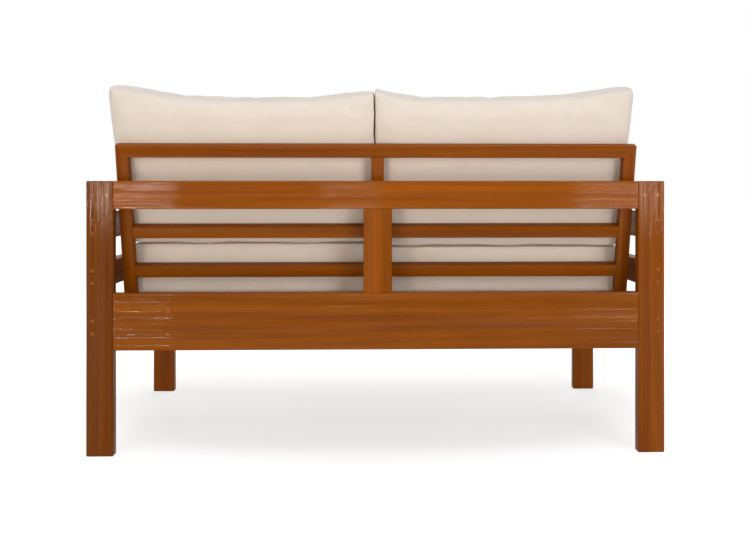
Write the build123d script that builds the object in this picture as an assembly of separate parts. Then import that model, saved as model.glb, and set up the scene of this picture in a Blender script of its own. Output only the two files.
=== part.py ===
from build123d import *
import os
from math import cos, radians, sin

# Patio loveseat: a varnished hardwood frame with a leaning ladder back and four loose cushions.
# Millimetres. The sitter faces -Y, the back is at +Y, +Z is up and the floor is z = 0.
# Left and right are those of a person who stands in front and looks at the loveseat.

os.makedirs("parts", exist_ok=True)

# Overall size
overall_width = 1300.0
overall_depth = 750.0
arm_height = 615.0
seat_height = 467.0
ladder_rise = 79.0

# Timber sections
stock = 28.0
post_width = 60.0
slat_width = 60.0
arm_rail_height = 63.0
seat_rail_height = 128.0
centre_stile_width = 64.0
edge_bevel = 1.8

# Heights of the rails above the floor
seat_rail_bottom = 236.0
bearer_top = 300.0
bearer_height = 60.0
side_slat_bottom = 258.5
side_slat_gap_share = 0.458
side_slat_count = 3

# Stub tenons and their mortises
tenon_length = 10.0
tenon_thickness = 12.0
tenon_width = 16.0
bearer_tenon_width = 40.0
stile_tenon_width = 40.0
mortise_clearance = 0.2

# Leaning ladder back
ladder_tilt_deg = 14.7
ladder_side_clearance = 2.0
ladder_notch = 3.0
ladder_slat_rows = 3

# Seat deck
seat_slat_count = 7
deck_front_clearance = 3.0
deck_rear_clearance = 3.4
deck_side_clearance = 3.0

# Screws, plugs, bolts and dowels
shank_flat_count = 6
head_flat_count = 8
fastener_clearance = 0.15
screw_radius = 2.2
screw_head_radius = 4.0
screw_head_height = 2.5
side_screw_length = 62.0
arm_screw_spacing = 30.0
slat_screw_spacing = 28.0
plug_length = 7.0
bolt_radius = 3.0
bolt_head_radius = 6.0
bolt_head_height = 4.0
bolt_reach = 100.0
bolt_edge_distance = 20.0
upper_bolt_edge_distance = 14.0
nut_radius = 5.0
nut_length = 20.0
nut_inset = 30.0
dowel_radius = 4.0
dowel_length = 36.0
mitre_dowel_radius = 3.0
mitre_dowel_length = 22.0
deck_screw_length = 48.0
back_screw_length = 44.0
back_screw_drop = 10.0
back_screw_shift = 8.0
back_screw_recess = 4.0
foot_screw_length = 50.0
foot_screw_rise = 24.0
foot_screw_tilt_deg = 40.0

# All cushions: the joint between left and right lies a little to the right of the middle
cushion_shift = 6.0
cushion_gap = 0.3
cushion_clearance = 0.3

# Seat cushions
seat_cushion_side_clearance = 0.4
seat_cushion_front_clearance = 2.0
seat_cushion_draw_share = 0.013
seat_cushion_corner = 26.0
seat_cushion_edge = 16.0
seat_cushion_crown = 14.0
seat_cushion_crown_reach = 170.0

# Back cushions
back_cushion_side_clearance = 11.0
back_cushion_height = 362.0
back_cushion_droop = 22.0
back_cushion_thickness = 152.0
back_cushion_flare_share = 0.078
back_cushion_top_draw_share = 0.043
back_cushion_side_draw_share = 0.02
back_cushion_corner = 28.0
back_cushion_edge = 20.0
back_cushion_crown = 16.0
back_cushion_crown_reach = 110.0

# How finely the sides, corners, rounded edges and crown of a cushion are stepped
side_step_count = 4
corner_step_count = 4
edge_step_count = 4
crown_step_count = 4

# Foam blocks inside the covers
foam_margin = 34.0
foam_clearance = 0.3
foam_share = 0.62

# Places that follow from the sizes
x_outer = overall_width / 2
x_inner = x_outer - post_width
x_side = x_outer - stock
y_back = overall_depth / 2
y_frame = y_back - stock
ladder_height = arm_height + ladder_rise
arm_bottom = arm_height - arm_rail_height
seat_rail_top = seat_rail_bottom + seat_rail_height
bearer_bottom = bearer_top - bearer_height
deck_top = bearer_top + stock
arm_middle = arm_height - arm_rail_height / 2
post_middle_x = x_outer - post_width / 2
side_slat_middle_x = x_outer - stock / 2
side_open_height = arm_bottom - side_slat_bottom - side_slat_count * slat_width
side_slat_pitch = slat_width + side_slat_gap_share * side_open_height
rail_middle_y = y_back - stock / 2
columns = (-1, 0, 1)

# The ladder back is drawn flat: u across, s up its slope from the level of the arms, w forward.
tilt = radians(ladder_tilt_deg)
ladder_origin_y = y_frame + ladder_notch
ladder_plane = Plane(
    origin=(0, ladder_origin_y, arm_height),
    x_dir=(1, 0, 0),
    z_dir=(0, -cos(tilt), sin(tilt)),
)
ladder_half = x_inner - ladder_side_clearance
ladder_inner = ladder_half - stock
ladder_top_s = (ladder_height - arm_height) / cos(tilt)
ladder_foot_s = (bearer_top - arm_height) / cos(tilt)
ladder_pitch = (ladder_top_s - ladder_foot_s - stock) / (ladder_slat_rows + 1)


def slope_at(z, w):
    """Distance up the ladder's slope at which the layer w reaches the height z."""
    return (z - arm_height - w * sin(tilt)) / cos(tilt)


def ladder_y(z, w):
    """Place along Y of the ladder's layer w at the height z."""
    return ladder_origin_y + slope_at(z, w) * sin(tilt) - w * cos(tilt)


def block(x, y, z):
    """Plain box between two values along each axis."""
    size = Box(x[1] - x[0], y[1] - y[0], z[1] - z[0])
    return Pos((x[0] + x[1]) / 2, (y[0] + y[1]) / 2, (z[0] + z[1]) / 2) * size


def board(x, y, z, grain):
    """Planed board with its four long edges eased."""
    plain = block(x, y, z)
    return chamfer(plain.edges().filter_by(grain), edge_bevel)


def prism(radius, low, high, flats):
    """Small bar of a few flats, which stands for a round one, between two heights."""
    return Pos(0, 0, low) * extrude(RegularPolygon(radius, flats), high - low)


def rod(start, direction, length, radius, flats=shank_flat_count):
    """Small bar, also used as a drill, from a start point along a direction."""
    return Plane(origin=start, z_dir=direction) * prism(radius, 0, length, flats)


def screw(start, direction, length):
    """Pan-head wood screw whose head top is at the start point."""
    head = prism(screw_head_radius, 0, screw_head_height, head_flat_count)
    shank = prism(screw_radius, screw_head_height, length, shank_flat_count)
    return Plane(origin=start, z_dir=direction) * (head + shank)


def screw_hole(start, direction, length):
    """Hole for a screw: a flat-bottomed seat for the head and a bore for the shank."""
    seat_radius = screw_head_radius + fastener_clearance
    seat = rod(start, direction, screw_head_height, seat_radius, head_flat_count)
    bore = rod(start, direction, length, screw_radius + fastener_clearance)
    return seat + bore


def mirrored(side, x):
    """The pair of X values on one side of the middle, lowest first."""
    return tuple(sorted((side * x[0], side * x[1])))


def save(shape, node):
    """Write one sub-part under its node name."""
    export_step(shape, f"parts/{node}.step")


# Screws of the side frames: two into each arm rail end and two into each side slat end
def side_slat_middle(row):
    """Height of the middle of one side slat, counted from the lowest."""
    return side_slat_bottom + slat_width / 2 + row * side_slat_pitch


def side_screw_places():
    """Offset from the middle plane and height of each screw in one post."""
    places = []
    for step in (-1, 1):
        places.append((post_middle_x + step * arm_screw_spacing / 2, arm_middle))
    for row in range(side_slat_count):
        for step in (-1, 1):
            places.append((side_slat_middle_x, side_slat_middle(row) + step * slat_screw_spacing / 2))
    return places


def side_screws(side, end):
    """Start points and the direction of the screws in one post, from its outer face inwards."""
    direction = (0, -end, 0)
    starts = []
    for x, z in side_screw_places():
        starts.append((side * x, end * (y_back - plug_length), z))
    return starts, direction


# Bolts that pull the rails to the posts, each with its cross nut
def rail_bolt_heights(end):
    """Heights of the bolts in one post: the rear posts also hold the upper rail."""
    heights = [seat_rail_bottom + bolt_edge_distance, seat_rail_top - bolt_edge_distance]
    if end > 0:
        heights.append(arm_bottom + upper_bolt_edge_distance)
    return heights


def rail_dowel_heights(end):
    """Heights of the locating dowels beside the bolts."""
    heights = [(seat_rail_bottom + seat_rail_top) / 2]
    if end > 0:
        heights.append(arm_height - upper_bolt_edge_distance)
    return heights


def bolt_start(side, end, z):
    """Outer end of a bolt, flush with the outside of its post."""
    return (side * x_outer, end * rail_middle_y, z)


def bolt_holes(side, end):
    """Everything drilled for the bolts and dowels of one post."""
    inward = (-side, 0, 0)
    holes = []
    for z in rail_bolt_heights(end):
        start = bolt_start(side, end, z)
        holes.append(rod(start, inward, bolt_reach + fastener_clearance, bolt_radius + fastener_clearance))
        head_radius = bolt_head_radius + fastener_clearance
        holes.append(rod(start, inward, bolt_head_height, head_radius, head_flat_count))
    for z in rail_dowel_heights(end):
        start = (side * (x_inner + dowel_length / 2 + fastener_clearance), end * rail_middle_y, z)
        length = dowel_length + 2 * fastener_clearance
        holes.append(rod(start, inward, length, dowel_radius + fastener_clearance))
    return holes


def nut_holes(side, end, heights):
    """Cross bores for the nuts, open on the inner face of a rail."""
    holes = []
    for z in heights:
        start = (side * (x_inner - nut_inset), end * y_frame, z)
        holes.append(rod(start, (0, end, 0), nut_length, nut_radius + fastener_clearance))
    return holes


# Posts and front legs
def leg(side, end):
    """Upright of a side frame, drilled and counterbored for its screws, bolts and dowels."""
    span_y = tuple(sorted((end * y_frame, end * y_back)))
    upright = board(mirrored(side, (x_inner, x_outer)), span_y, (0, arm_height), Axis.Z)
    ends = upright.faces().sort_by(Axis.Z)
    upright = chamfer(ends[0].edges() + ends[-1].edges(), edge_bevel)
    starts, direction = side_screws(side, end)
    for start in starts:
        mouth = (start[0], end * y_back, start[2])
        plug_radius = screw_head_radius + fastener_clearance
        upright -= rod(mouth, direction, plug_length, plug_radius, head_flat_count)
        upright -= screw_hole(start, direction, side_screw_length)
    for hole in bolt_holes(side, end):
        upright -= hole
    return upright


def side_member(side, x, z):
    """Arm rail or side slat, drilled at both ends for the screws that enter it."""
    member = board(mirrored(side, x), (-y_frame, y_frame), z, Axis.Y)
    for end in (-1, 1):
        starts, direction = side_screws(side, end)
        for start in starts:
            if z[0] < start[2] < z[1]:
                member -= screw_hole(start, direction, side_screw_length)
    return member


# Rails between the side frames
def stile_mortise(z, up):
    """Mortise in a rear rail for the centre stile."""
    half = stile_tenon_width / 2 + mortise_clearance
    thick = tenon_thickness / 2 + mortise_clearance
    deep = up * (tenon_length + mortise_clearance)
    return block((-half, half), (rail_middle_y - thick, rail_middle_y + thick), sorted((z, z + deep)))


def bearer_mortises(end):
    """Three mortises in a seat rail for the ends of the bearers."""
    thick = tenon_thickness / 2 + mortise_clearance
    middle = (bearer_bottom + bearer_top) / 2
    half = bearer_tenon_width / 2 + mortise_clearance
    inner = end * y_frame
    span_y = sorted((inner, inner + end * (tenon_length + mortise_clearance)))
    cuts = []
    for column in columns:
        x = bearer_middle(column)
        cuts.append(block((x - thick, x + thick), span_y, (middle - half, middle + half)))
    return cuts


def rail(end, z):
    """Rail between two posts, with its bolt holes, dowel holes and cross bores."""
    span_y = tuple(sorted((end * y_frame, end * y_back)))
    body = board((-x_inner, x_inner), span_y, z, Axis.X)
    heights = [height for height in rail_bolt_heights(end) if z[0] < height < z[1]]
    for side in (-1, 1):
        for hole in bolt_holes(side, end):
            body -= hole
        for hole in nut_holes(side, end, heights):
            body -= hole
    return body


def rear_upper_rail():
    """Rail at arm height, against which the ladder back leans."""
    body = rail(1, (arm_bottom, arm_height)) - stile_mortise(arm_bottom, 1)
    for column in columns:
        start, direction = back_screw_place(column)
        body -= rod(start, direction, back_screw_length, screw_radius + fastener_clearance)
    return body


def seat_rail(end):
    """Deep rail of the seat: the front apron or the rear lower rail."""
    body = rail(end, (seat_rail_bottom, seat_rail_top))
    for cut in bearer_mortises(end):
        body -= cut
    if end > 0:
        body -= stile_mortise(seat_rail_top, -1)
    return body


def rear_centre_stile():
    """Wide upright between the two rear rails, tenoned at both ends."""
    half = centre_stile_width / 2
    body = board((-half, half), (y_frame, y_back), (seat_rail_top, arm_bottom), Axis.Z)
    thick = tenon_thickness / 2
    span_z = (seat_rail_top - tenon_length, arm_bottom + tenon_length)
    span_x = (-stile_tenon_width / 2, stile_tenon_width / 2)
    return body + block(span_x, (rail_middle_y - thick, rail_middle_y + thick), span_z)


# Seat bearers and seat slats
def bearer_middle(column):
    """Middle of a bearer along X: -1 left, 0 centre, 1 right."""
    return column * (x_inner - stock / 2)


def deck_limits():
    """Front and rear ends of the seat deck along Y."""
    return (-y_frame + deck_front_clearance, ladder_y(bearer_top, stock) - deck_rear_clearance)


def deck_slat_middle(number):
    """Middle of one seat slat along Y, counted from the front."""
    front, rear = deck_limits()
    pitch = (rear - front - slat_width) / (seat_slat_count - 1)
    return front + slat_width / 2 + number * pitch


def deck_screw_starts(number):
    """Top of each screw through one seat slat."""
    return [(bearer_middle(column), deck_slat_middle(number), deck_top) for column in columns]


def seat_bearer(column):
    """Bearer from the front apron to the rear rail, with a stub tenon at each end."""
    x = bearer_middle(column)
    half = stock / 2
    span_z = (bearer_bottom, bearer_top)
    body = board((x - half, x + half), (-y_frame, y_frame), span_z, Axis.Y)
    reach = y_frame + tenon_length
    thick = tenon_thickness / 2
    middle = (bearer_bottom + bearer_top) / 2
    tenon_z = (middle - bearer_tenon_width / 2, middle + bearer_tenon_width / 2)
    body += block((x - thick, x + thick), (-reach, reach), tenon_z)
    for number in range(seat_slat_count):
        start = (x, deck_slat_middle(number), deck_top)
        body -= rod(start, (0, 0, -1), deck_screw_length, screw_radius + fastener_clearance)
    start, direction = foot_screw_place(column)
    return body - rod(start, direction, foot_screw_length, screw_radius + fastener_clearance)


def seat_slat(number):
    """Slat across the seat, screwed down on each bearer."""
    half_x = x_inner - deck_side_clearance
    middle = deck_slat_middle(number)
    span_y = (middle - slat_width / 2, middle + slat_width / 2)
    body = board((-half_x, half_x), span_y, (bearer_top, deck_top), Axis.X)
    for start in deck_screw_starts(number):
        body -= screw_hole(start, (0, 0, -1), deck_screw_length)
    return body


# Ladder back
def stile_middle(column):
    """Middle of a ladder stile across the back: -1 left, 0 centre, 1 right."""
    return column * (ladder_half - stock / 2)


def row_middle(row):
    """Middle of a row up the slope: 0 is the bottom rail, the last is the top rail."""
    return ladder_foot_s + stock / 2 + row * ladder_pitch


def back_screw_place(column):
    """Level screw from the front of a stile into the upper rail behind it."""
    z = arm_height - back_screw_drop
    x = stile_middle(column) - column * back_screw_shift
    return (x, ladder_y(z, stock) + back_screw_recess, z), (0, 1, 0)


def foot_screw_place(column):
    """Slanting screw from the front of a stile's foot down into the bearer under it."""
    z = bearer_top + foot_screw_rise
    slant = radians(foot_screw_tilt_deg)
    start = (stile_middle(column), ladder_y(z, stock) + back_screw_recess, z)
    return start, (0, sin(slant), -cos(slant))


def flat_block(u, s, w):
    """Box given in the ladder's own directions, set on its slope."""
    return ladder_plane * block(u, s, w)


def ladder_joint(u_low, u_high, row, clearance):
    """Stub tenon, or with a clearance its mortise, across the back at one row."""
    half_s = tenon_width / 2 + clearance
    half_w = tenon_thickness / 2 + clearance
    middle = row_middle(row)
    span_s = (middle - half_s, middle + half_s)
    return flat_block((u_low, u_high), span_s, (stock / 2 - half_w, stock / 2 + half_w))


def eased_prism(points, grain):
    """Ladder member from its outline on the slope, with the edges along its grain eased."""
    outline = make_face(Polyline(*points, close=True))
    plain = extrude(outline, stock)
    return ladder_plane * chamfer(plain.edges().filter_by(grain), edge_bevel)


def mitre_dowel(side, clearance):
    """Dowel across one mitre of the ladder's top corners, or its hole."""
    length = mitre_dowel_length + 2 * clearance
    bar = prism(mitre_dowel_radius + clearance, -length / 2, length / 2, shank_flat_count)
    middle_u = side * (ladder_half - stock / 2)
    turn = Rot(0, 0, -side * 45) * Rot(90, 0, 0)
    return ladder_plane * Pos(middle_u, ladder_top_s - stock / 2, stock / 2) * turn * bar


def fit_to_frame(stile, column):
    """Notch a stile over the upper rail, cut its foot level and drill its two screws."""
    x = stile_middle(column)
    half = stock
    over_rail = block((x - half, x + half), (y_frame, y_back), (arm_bottom, arm_height))
    below = block((x - half, x + half), (-y_back, y_back), (bearer_bottom, bearer_top))
    stile = stile - over_rail - below
    start, direction = back_screw_place(column)
    stile -= back_screw_hole(start, direction, back_screw_length)
    start, direction = foot_screw_place(column)
    return stile - back_screw_hole(start, direction, foot_screw_length)


def back_screw_hole(start, direction, length):
    """Recessed hole for a screw that starts inside the sloping front of a stile."""
    radius = screw_head_radius + fastener_clearance
    recess_length = back_screw_recess * 3
    recess = rod(start, [-part for part in direction], recess_length, radius, head_flat_count)
    return recess + screw_hole(start, direction, length)


def ladder_side_stile(side):
    """Outer stile with a mitred top, four mortises, a notch and a level foot."""
    low = slope_at(bearer_bottom, 0)
    points = [
        (side * ladder_inner, low),
        (side * ladder_half, low),
        (side * ladder_half, ladder_top_s),
        (side * ladder_inner, ladder_top_s - stock),
    ]
    stile = eased_prism(points, Axis.Y)
    deep = side * (tenon_length + mortise_clearance)
    span = sorted((side * ladder_inner, side * ladder_inner + deep))
    for row in range(ladder_slat_rows + 1):
        stile -= ladder_joint(span[0], span[1], row, mortise_clearance)
    stile -= mitre_dowel(side, fastener_clearance)
    return fit_to_frame(stile, side)


def ladder_centre_stile():
    """Middle stile, tenoned into the top rail and mortised from both sides."""
    half = stock / 2
    low = slope_at(bearer_bottom, 0)
    high = ladder_top_s - stock
    stile = eased_prism([(-half, low), (half, low), (half, high), (-half, high)], Axis.Y)
    for side in (-1, 1):
        inner = side * half
        span = sorted((inner, inner - side * (tenon_length + mortise_clearance)))
        for row in range(ladder_slat_rows + 1):
            stile -= ladder_joint(span[0], span[1], row, mortise_clearance)
    thick = tenon_thickness / 2
    span_u = (-tenon_width / 2, tenon_width / 2)
    stile += flat_block(span_u, (high, high + tenon_length), (half - thick, half + thick))
    return fit_to_frame(stile, 0)


def ladder_top_rail():
    """Top rail of the ladder with mitred ends and a mortise for the middle stile."""
    low = ladder_top_s - stock
    points = [
        (-ladder_half, ladder_top_s),
        (ladder_half, ladder_top_s),
        (ladder_inner, low),
        (-ladder_inner, low),
    ]
    body = eased_prism(points, Axis.X)
    thick = tenon_thickness / 2 + mortise_clearance
    half = tenon_width / 2 + mortise_clearance
    deep = tenon_length + mortise_clearance
    body -= flat_block((-half, half), (low, low + deep), (stock / 2 - thick, stock / 2 + thick))
    for side in (-1, 1):
        body -= mitre_dowel(side, fastener_clearance)
    return body


def ladder_slat(side, row):
    """Slat of one bay with a stub tenon at each end; row 0 is the bottom rail."""
    near = stock / 2
    low = row_middle(row) - stock / 2
    high = low + stock
    points = [(side * near, low), (side * ladder_inner, low), (side * ladder_inner, high), (side * near, high)]
    body = eased_prism(points, Axis.X)
    span = sorted((side * (near - tenon_length), side * (ladder_inner + tenon_length)))
    return body + ladder_joint(span[0], span[1], row, 0)


# Cushions
def bowed_side(start, end, share):
    """Points of one side of a cushion outline, bowed inwards by a share of its length."""
    run_x, run_y = end[0] - start[0], end[1] - start[1]
    points = []
    for step in range(side_step_count):
        done = step / side_step_count
        bow = 4 * done * (1 - done) * share
        points.append((start[0] + run_x * done - run_y * bow, start[1] + run_y * done + run_x * bow))
    return points


def rounded_corner(centre, radius, first_deg):
    """Points of a quarter turn round a corner, without its last point."""
    points = []
    for step in range(corner_step_count):
        angle = radians(first_deg + 90 * step / corner_step_count)
        points.append((centre[0] + radius * cos(angle), centre[1] + radius * sin(angle)))
    return points


def cushion_outline(low, high, flares, draws, corner):
    """Four-cornered outline with rounded corners and drawn-in sides.

    low and high are opposite corners. flares widen the far end to the left and right by a share
    of the flank, and draws are the shares by which the near, far and flank sides pull in.
    """
    near_draw, far_draw, flank_draw = draws
    near, far = low[1] + corner, high[1] - corner
    left = low[0] - flares[0] * (far - near)
    right = high[0] + flares[1] * (far - near)
    points = bowed_side((low[0] + corner, low[1]), (high[0] - corner, low[1]), near_draw)
    points += rounded_corner((high[0] - corner, near), corner, -90)
    points += bowed_side((high[0], near), (right, far), flank_draw)
    points += rounded_corner((right - corner, far), corner, 0)
    points += bowed_side((right - corner, high[1]), (left + corner, high[1]), far_draw)
    points += rounded_corner((left + corner, far), corner, 90)
    points += bowed_side((left, far), (low[0], near), flank_draw)
    points += rounded_corner((low[0] + corner, near), corner, 180)
    return points


def facet(points):
    """Flat face inside a closed line through the given points."""
    return Face(Wire.make_polygon(points))


def ruled_solid(outlines):
    """Solid that joins a stack of outlines, each with as many points, by flat facets."""
    faces = [facet(outlines[0]), facet(outlines[-1])]
    for lower, upper in zip(outlines, outlines[1:]):
        for corner in range(len(lower)):
            previous = corner - 1
            faces.append(facet([lower[previous], lower[corner], upper[corner], upper[previous]]))
    return Solid(Shell(faces))


def cushion_layers(thickness, edge, crown, reach):
    """Inset and height of each outline of a cushion: rounded edges, then a domed top."""
    layers = []
    for step in range(edge_step_count + 1):
        angle = radians(90 * step / edge_step_count)
        layers.append((edge * (1 - sin(angle)), edge * (1 - cos(angle))))
    shoulder = thickness - crown - edge
    for step in range(edge_step_count + 1):
        angle = radians(90 * step / edge_step_count)
        layers.append((edge * (1 - cos(angle)), shoulder + edge * sin(angle)))
    for step in range(1, crown_step_count + 1):
        done = step / crown_step_count
        layers.append((edge + (reach - edge) * done, thickness - crown * (1 - done) ** 2))
    return layers


def cushion_span(side, side_clearance):
    """Left and right edges of a cushion, from the joint in the middle towards one arm."""
    width = x_inner - side_clearance - cushion_shift - cushion_gap
    near = cushion_shift + side * cushion_gap
    return sorted((near, near + side * width))


def seat_cushion_limits(side):
    """Low and high corners of a seat cushion."""
    x = cushion_span(side, seat_cushion_side_clearance)
    front = -y_frame + seat_cushion_front_clearance
    rear = ladder_y(deck_top, stock) - cushion_clearance
    bottom = deck_top + cushion_clearance
    return (x[0], front, bottom), (x[1], rear, seat_height)


def seat_cushion_shape(side):
    """Crowned seat cushion: flat below, with drawn-in sides and a domed top."""
    low, high = seat_cushion_limits(side)
    outlines = []
    draws = (seat_cushion_draw_share, seat_cushion_draw_share, seat_cushion_draw_share)
    layers = cushion_layers(
        high[2] - low[2], seat_cushion_edge, seat_cushion_crown, seat_cushion_crown_reach
    )
    for inset, level in layers:
        outline = cushion_outline(
            (low[0] + inset, low[1] + inset),
            (high[0] - inset, high[1] - inset),
            (0, 0),
            draws,
            seat_cushion_corner,
        )
        outlines.append([(x, y, low[2] + level) for x, y in outline])
    return ruled_solid(outlines)


def back_cushion_top():
    """Distance up the slope of the upper corners of a back cushion."""
    return slope_at(seat_height, stock) + back_cushion_height


def back_cushion_shape(side):
    """Back cushion: flat on the ladder and the seat, domed in front, with raised corners.

    Its top slopes down to the front, where the filling has settled.
    """
    x = cushion_span(side, back_cushion_side_clearance)
    flares = (back_cushion_flare_share, 0) if side < 0 else (0, back_cushion_flare_share)
    outlines = []
    draws = (0, back_cushion_top_draw_share, back_cushion_side_draw_share)
    layers = cushion_layers(
        back_cushion_thickness, back_cushion_edge, back_cushion_crown, back_cushion_crown_reach
    )
    for inset, depth in layers:
        w = stock + cushion_clearance + depth
        bottom = slope_at(seat_height + cushion_clearance + inset, w)
        top = back_cushion_top() - back_cushion_droop * depth / back_cushion_thickness
        outline = cushion_outline(
            (x[0] + inset, bottom),
            (x[1] - inset, top - inset),
            flares,
            draws,
            back_cushion_corner,
        )
        outlines.append([ladder_plane.from_local_coords((u, s, w)) for u, s in outline])
    return ruled_solid(outlines)


def seat_foam(side, clearance):
    """Foam block of a seat cushion, or with a clearance the pocket that holds it."""
    low, high = seat_cushion_limits(side)
    middle = (low[2] + high[2]) / 2
    half_z = foam_share * (high[2] - low[2]) / 2 + clearance
    margin = foam_margin - clearance
    return block(
        (low[0] + margin, high[0] - margin),
        (low[1] + margin, high[1] - margin),
        (middle - half_z, middle + half_z),
    )


def back_foam(side, clearance):
    """Foam block of a back cushion, or with a clearance the pocket that holds it."""
    x = cushion_span(side, back_cushion_side_clearance)
    margin = foam_margin - clearance
    half_w = foam_share * back_cushion_thickness / 2 + clearance
    middle_w = stock + cushion_clearance + back_cushion_thickness / 2
    bottom = slope_at(seat_height, middle_w - half_w) + margin
    top_draw = back_cushion_top_draw_share * (x[1] - x[0])
    top = back_cushion_top() - top_draw - back_cushion_droop - margin
    return flat_block((x[0] + margin, x[1] - margin), (bottom, top), (middle_w - half_w, middle_w + half_w))


# Fasteners, gathered as groups of separate pieces
def side_frame_fasteners():
    """All screws of the two side frames and the plugs over their heads."""
    screws = []
    plugs = []
    for side in (-1, 1):
        for end in (-1, 1):
            starts, direction = side_screws(side, end)
            for start in starts:
                screws.append(screw(start, direction, side_screw_length))
                mouth = (start[0], end * y_back, start[2])
                plugs.append(rod(mouth, direction, plug_length, screw_head_radius, head_flat_count))
    return screws, plugs


def rail_fasteners():
    """Bolts, cross nuts and dowels between the rails and the posts."""
    bolts = []
    nuts = []
    dowels = []
    for side in (-1, 1):
        for end in (-1, 1):
            inward = (-side, 0, 0)
            for z in rail_bolt_heights(end):
                start = bolt_start(side, end, z)
                shank = rod(start, inward, bolt_reach, bolt_radius)
                head = rod(start, inward, bolt_head_height, bolt_head_radius, head_flat_count)
                bolts.append(shank + head)
                nut_start = (side * (x_inner - nut_inset), end * y_frame, z)
                nut = rod(nut_start, (0, end, 0), nut_length, nut_radius)
                nuts.append(nut - rod(start, inward, bolt_reach, bolt_radius + fastener_clearance))
            for z in rail_dowel_heights(end):
                dowel_start = (side * (x_inner + dowel_length / 2), end * rail_middle_y, z)
                dowels.append(rod(dowel_start, inward, dowel_length, dowel_radius))
    return bolts, nuts, dowels


def deck_screws():
    """Screws of the seat slats."""
    screws = []
    for number in range(seat_slat_count):
        for start in deck_screw_starts(number):
            screws.append(screw(start, (0, 0, -1), deck_screw_length))
    return screws


def ladder_screws():
    """Screws that hold the ladder to the upper rail and to the bearers."""
    screws = []
    for column in columns:
        start, direction = back_screw_place(column)
        screws.append(screw(start, direction, back_screw_length))
        start, direction = foot_screw_place(column)
        screws.append(screw(start, direction, foot_screw_length))
    return screws


# Write every sub-part
side_names = {-1: "left", 1: "right"}

for side, name in side_names.items():
    save(leg(side, 1), f"rear_post_{name}")
    save(leg(side, -1), f"front_leg_{name}")
    save(side_member(side, (x_inner, x_outer), (arm_bottom, arm_height)), f"arm_rail_{name}")
    for row, row_name in enumerate(("lower", "middle", "upper")[:side_slat_count]):
        middle = side_slat_middle(row)
        span_z = (middle - slat_width / 2, middle + slat_width / 2)
        save(side_member(side, (x_side, x_outer), span_z), f"side_slat_{row_name}_{name}")
    save(ladder_side_stile(side), f"back_stile_{name}")
    save(ladder_slat(side, 0), f"back_bottom_rail_{name}")
    for row in range(1, ladder_slat_rows + 1):
        save(ladder_slat(side, row), f"back_slat_{row}_{name}")
    seat_shape = seat_cushion_shape(side)
    save(seat_shape - seat_foam(side, foam_clearance), f"seat_cushion_cover_{name}")
    save(seat_foam(side, 0), f"seat_cushion_foam_{name}")
    back_shape = back_cushion_shape(side)
    save(back_shape - back_foam(side, foam_clearance), f"back_cushion_cover_{name}")
    save(back_foam(side, 0), f"back_cushion_foam_{name}")

save(rear_upper_rail(), "rear_upper_rail")
save(seat_rail(1), "rear_lower_rail")
save(seat_rail(-1), "front_apron")
save(rear_centre_stile(), "rear_centre_stile")
for column, name in zip(columns, ("left", "centre", "right")):
    save(seat_bearer(column), f"seat_bearer_{name}")
for number in range(seat_slat_count):
    save(seat_slat(number), f"seat_slat_{number + 1}")
save(ladder_centre_stile(), "back_stile_centre")
save(ladder_top_rail(), "back_top_rail")

frame_screws, screw_plugs = side_frame_fasteners()
rail_bolts, cross_nuts, rail_dowels = rail_fasteners()
mitre_dowels = [mitre_dowel(side, 0) for side in side_names]
save(Compound(frame_screws), "side_frame_screws")
save(Compound(screw_plugs), "screw_plugs")
save(Compound(rail_bolts), "rail_bolts")
save(Compound(cross_nuts), "bolt_cross_nuts")
save(Compound(rail_dowels), "rail_dowels")
save(Compound(mitre_dowels), "mitre_dowels")
save(Compound(deck_screws()), "seat_slat_screws")
save(Compound(ladder_screws()), "back_frame_screws")
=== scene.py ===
import math

import bmesh
import bpy
import numpy as np
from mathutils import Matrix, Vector, kdtree, noise
from mathutils.bvhtree import BVHTree


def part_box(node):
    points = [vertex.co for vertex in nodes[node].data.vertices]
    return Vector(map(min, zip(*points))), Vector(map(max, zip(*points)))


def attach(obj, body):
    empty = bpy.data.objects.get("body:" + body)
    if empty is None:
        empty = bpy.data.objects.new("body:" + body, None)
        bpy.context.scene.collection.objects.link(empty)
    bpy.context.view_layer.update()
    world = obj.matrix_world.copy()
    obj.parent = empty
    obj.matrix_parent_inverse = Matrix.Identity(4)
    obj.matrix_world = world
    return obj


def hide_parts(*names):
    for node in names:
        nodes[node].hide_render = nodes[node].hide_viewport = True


# Patio loveseat seen from behind. Metres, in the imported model's frame: the back is at +Y. In the
# names of pieces left is at -X and right at +X; a table keyed by side has -1 for left.

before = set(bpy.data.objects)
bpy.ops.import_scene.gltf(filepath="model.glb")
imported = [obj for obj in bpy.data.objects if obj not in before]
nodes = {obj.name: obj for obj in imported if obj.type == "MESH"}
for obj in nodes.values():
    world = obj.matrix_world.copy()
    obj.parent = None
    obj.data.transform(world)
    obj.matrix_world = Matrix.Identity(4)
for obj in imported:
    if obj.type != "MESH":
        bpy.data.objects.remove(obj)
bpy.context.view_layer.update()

# Leaning ladder back: its slope starts at the level of the arms
TILT = math.radians(14.7)
ARM_HEIGHT = 0.615
LADDER_ORIGIN = Vector((0.0, 0.350, ARM_HEIGHT))
SLOPE_UP = Vector((0.0, math.sin(TILT), math.cos(TILT)))
SLOPE_FORWARD = Vector((0.0, -math.cos(TILT), math.sin(TILT)))
LADDER_FRONT = 0.028

# Joint between the cushions of the two sides, top of the seat cushions and top of the seat slats
JOINT_X = 0.006
SEAT_TOP = 0.467
DECK_TOP = 0.328


# Shader helpers
def feed(tree, node, inputs):
    """Set each input of a node to a value, or link it to a socket."""
    for key, value in inputs.items():
        if isinstance(value, bpy.types.NodeSocket):
            tree.links.new(value, node.inputs[key])
        else:
            node.inputs[key].default_value = value


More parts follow.
